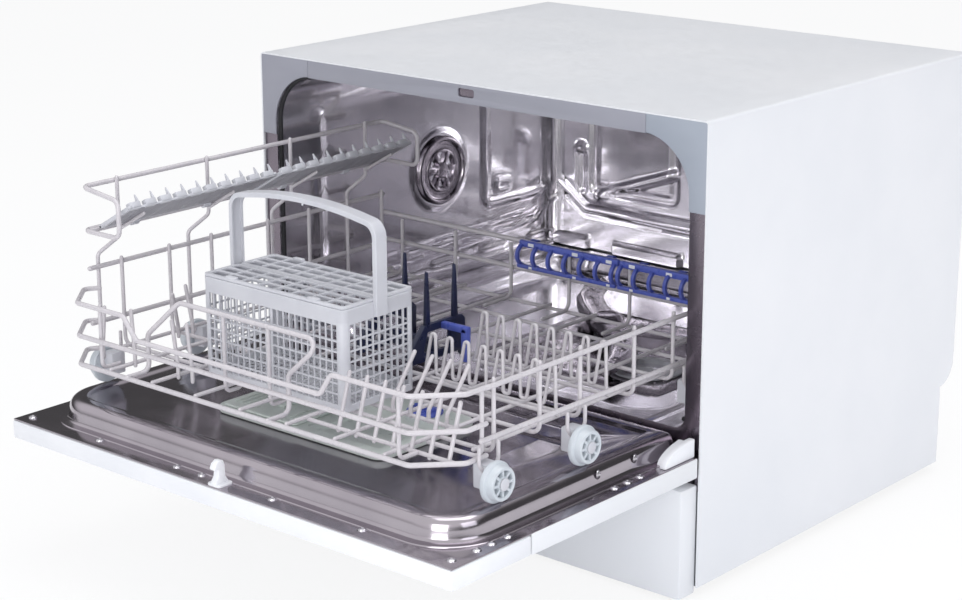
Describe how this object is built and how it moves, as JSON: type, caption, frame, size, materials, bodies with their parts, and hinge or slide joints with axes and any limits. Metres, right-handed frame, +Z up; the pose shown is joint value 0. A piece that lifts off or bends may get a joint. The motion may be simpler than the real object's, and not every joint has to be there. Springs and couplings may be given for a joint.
{
  "type": "countertop dishwasher",
  "caption": "Box-shaped countertop dishwasher, drop-down door open, with a wheeled wire rack, cup shelf, cutlery basket and spray arm.",
  "frame": {"origin": "middle of the bounding box on the plane of the worktop", "axes": "+X to the right seen from the front, +Y towards the back panel, +Z up"},
  "size_m": [0.55, 0.802, 0.438],
  "materials": {
    "white_paint": "smooth white powder coat",
    "white_plastic": "gloss",
    "fascia_grey": "satin mauve grey",
    "stainless": "bright brushed",
    "zinc_steel": "zinc plated",
    "wire_coat": "light grey dipped coat",
    "light_plastic": "satin",
    "wheel_plastic": "satin",
    "blue_plastic": "gloss",
    "navy_plastic": "satin",
    "dispenser_plastic": "satin translucent look",
    "dark_plastic": "matt",
    "black_rubber": "matt",
    "smoke_window": "gloss",
    "board_green": "satin"
  },
  "bodies": {
    "cabinet": {"outer_wrap": "white_paint", "back_panel": "white_paint", "base_tray": "zinc_steel", "kick_panel": "white_paint", "feet": "black_rubber", "top_fascia": "fascia_grey", "corner_trim_left": "fascia_grey", "corner_trim_right": "fascia_grey", "latch_strike": "dark_plastic", "tub_gasket": "black_rubber", "tub_shell": "stainless", "wall_vent_cap": "light_plastic", "sump": "dark_plastic", "filter_plate": "stainless", "wash_pump": "dark_plastic", "drain_pump": "dark_plastic", "heater": "zinc_steel", "inlet_valve": "white_plastic", "hoses": "black_rubber", "cable_gland": "dark_plastic", "door_outer_panel": "white_paint", "control_panel": "white_plastic", "display_window": "smoke_window", "control_board": "board_green", "door_liner": "stainless", "latch_hook": "white_plastic", "dispenser_body": "dispenser_plastic", "hinge_arms": "zinc_steel", "hinge_springs": "zinc_steel", "hinge_covers": "white_plastic", "door_screws": "zinc_steel"},
    "rack": {"rack_floor": "wire_coat", "rack_front": "wire_coat", "rack_left": "wire_coat", "rack_right": "wire_coat", "rack_rear": "wire_coat", "wheel_clips": "light_plastic"},
    "tine_row_front": {"tine_row_front": "wire_coat"},
    "tine_row_rear": {"tine_row_rear": "wire_coat"},
    "cup_tray_front": {"cup_tray_front": "light_plastic"},
    "cup_tray_rear": {"cup_tray_rear": "light_plastic"},
    "plate_rail_left": {"plate_rail_left": "blue_plastic"},
    "plate_rail_right": {"plate_rail_right": "blue_plastic"},
    "glass_support": {"glass_support": "navy_plastic"},
    "cutlery_basket": {"cutlery_basket": "light_plastic"},
    "basket_lid_front": {"basket_lid_front": "light_plastic"},
    "basket_lid_rear": {"basket_lid_rear": "light_plastic"},
    "spray_arm": {"spray_arm": "stainless"},
    "coarse_filter": {"coarse_filter": "light_plastic"},
    "dispenser_lid": {"dispenser_lid": "dispenser_plastic"},
    "rinse_cap": {"rinse_cap": "blue_plastic"},
    "power_button": {"power_button": "light_plastic"},
    "program_button": {"program_button": "light_plastic"},
    "start_button": {"start_button": "light_plastic"},
    "wheel_left_front": {"wheel_left_front": "wheel_plastic"},
    "wheel_left_middle": {"wheel_left_middle": "wheel_plastic"},
    "wheel_left_rear": {"wheel_left_rear": "wheel_plastic"},
    "wheel_right_front": {"wheel_right_front": "wheel_plastic"},
    "wheel_right_middle": {"wheel_right_middle": "wheel_plastic"},
    "wheel_right_rear": {"wheel_right_rear": "wheel_plastic"}
  },
  "joints": [
    {"name": "rack_slide", "type": "slide", "parent": "cabinet", "child": "rack", "axis": [0, 1, 0], "range_m": [0, 0.308]},
    {"name": "wheel_left_front_spin", "type": "hinge", "parent": "rack", "child": "wheel_left_front", "pos_m": [-0.246, -0.311, 0.1743], "axis": [1, 0, 0], "continuous": true},
    {"name": "wheel_left_middle_spin", "type": "hinge", "parent": "rack", "child": "wheel_left_middle", "pos_m": [-0.246, -0.197, 0.1743], "axis": [1, 0, 0], "continuous": true},
    {"name": "wheel_left_rear_spin", "type": "hinge", "parent": "rack", "child": "wheel_left_rear", "pos_m": [-0.246, -0.029, 0.1743], "axis": [1, 0, 0], "continuous": true},
    {"name": "wheel_right_front_spin", "type": "hinge", "parent": "rack", "child": "wheel_right_front", "pos_m": [0.246, -0.311, 0.1743], "axis": [1, 0, 0], "continuous": true},
    {"name": "wheel_right_middle_spin", "type": "hinge", "parent": "rack", "child": "wheel_right_middle", "pos_m": [0.246, -0.197, 0.1743], "axis": [1, 0, 0], "continuous": true},
    {"name": "wheel_right_rear_spin", "type": "hinge", "parent": "rack", "child": "wheel_right_rear", "pos_m": [0.246, -0.029, 0.1743], "axis": [1, 0, 0], "continuous": true},
    {"name": "tine_row_front_fold", "type": "hinge", "parent": "rack", "child": "tine_row_front", "pos_m": [0.147, -0.205, 0.1988], "axis": [1, 0, 0], "range_deg": [-78, 0]},
    {"name": "tine_row_rear_fold", "type": "hinge", "parent": "rack", "child": "tine_row_rear", "pos_m": [0.147, -0.135, 0.1988], "axis": [1, 0, 0], "range_deg": [-78, 0]},
    {"name": "cup_tray_front_fold", "type": "hinge", "parent": "rack", "child": "cup_tray_front", "pos_m": [-0.225, -0.236, 0.312], "axis": [0, -1, 0], "range_deg": [0, 45]},
    {"name": "cup_tray_rear_fold", "type": "hinge", "parent": "rack", "child": "cup_tray_rear", "pos_m": [-0.225, -0.04, 0.312], "axis": [0, -1, 0], "range_deg": [0, 45]},
    {"name": "plate_rail_left_fold", "type": "hinge", "parent": "rack", "child": "plate_rail_left", "pos_m": [0.026, 0.061, 0.255], "axis": [1, 0, 0], "range_deg": [-100, 0]},
    {"name": "plate_rail_right_fold", "type": "hinge", "parent": "rack", "child": "plate_rail_right", "pos_m": [0.14, 0.061, 0.255], "axis": [1, 0, 0], "range_deg": [-100, 0]},
    {"name": "glass_support_fold", "type": "hinge", "parent": "rack", "child": "glass_support", "pos_m": [0, -0.109, 0.1945], "axis": [1, 0, 0], "range_deg": [-75, 0]},
    {"name": "basket_lift", "type": "slide", "parent": "rack", "child": "cutlery_basket", "axis": [0, 0, 1], "range_m": [0, 0.04]},
    {"name": "basket_lid_front_hinge", "type": "hinge", "parent": "cutlery_basket", "child": "basket_lid_front", "pos_m": [-0.009, -0.316, 0.2898], "axis": [1, 0, 0], "range_deg": [0, 100]},
    {"name": "basket_lid_rear_hinge", "type": "hinge", "parent": "cutlery_basket", "child": "basket_lid_rear", "pos_m": [-0.009, -0.228, 0.2898], "axis": [1, 0, 0], "range_deg": [-100, 0]},
    {"name": "spray_arm_spin", "type": "hinge", "parent": "cabinet", "child": "spray_arm", "pos_m": [0, 0.151, 0.155], "axis": [0, 0, 1], "continuous": true},
    {"name": "coarse_filter_turn", "type": "hinge", "parent": "cabinet", "child": "coarse_filter", "pos_m": [0.098, 0.091, 0.138], "axis": [0, 0, 1], "range_deg": [0, 90]},
    {"name": "dispenser_lid_slide", "type": "slide", "parent": "cabinet", "child": "dispenser_lid", "axis": [1, 0, 0], "range_m": [0, 0.092]},
    {"name": "rinse_cap_turn", "type": "hinge", "parent": "cabinet", "child": "rinse_cap", "pos_m": [0.058, -0.193, 0.161], "axis": [0, 0, 1], "range_deg": [0, 90]},
    {"name": "power_press", "type": "slide", "parent": "cabinet", "child": "power_button", "axis": [0, 0, 1], "range_m": [0, 0.0012], "stiffness_N_per_m": 300, "springref_m": -0.001},
    {"name": "program_press", "type": "slide", "parent": "cabinet", "child": "program_button", "axis": [0, 0, 1], "range_m": [0, 0.0012], "stiffness_N_per_m": 300, "springref_m": -0.001},
    {"name": "start_press", "type": "slide", "parent": "cabinet", "child": "start_button", "axis": [0, 0, 1], "range_m": [0, 0.0012], "stiffness_N_per_m": 300, "springref_m": -0.001}
  ],
  "couplings": [
    {"joint": "wheel_left_front_spin", "follows": "rack_slide", "rad_per_m": -55.556},
    {"joint": "wheel_left_middle_spin", "follows": "rack_slide", "rad_per_m": -55.556},
    {"joint": "wheel_left_rear_spin", "follows": "rack_slide", "rad_per_m": -55.556},
    {"joint": "wheel_right_front_spin", "follows": "rack_slide", "rad_per_m": -55.556},
    {"joint": "wheel_right_middle_spin", "follows": "rack_slide", "rad_per_m": -55.556},
    {"joint": "wheel_right_rear_spin", "follows": "rack_slide", "rad_per_m": -55.556}
  ]
}
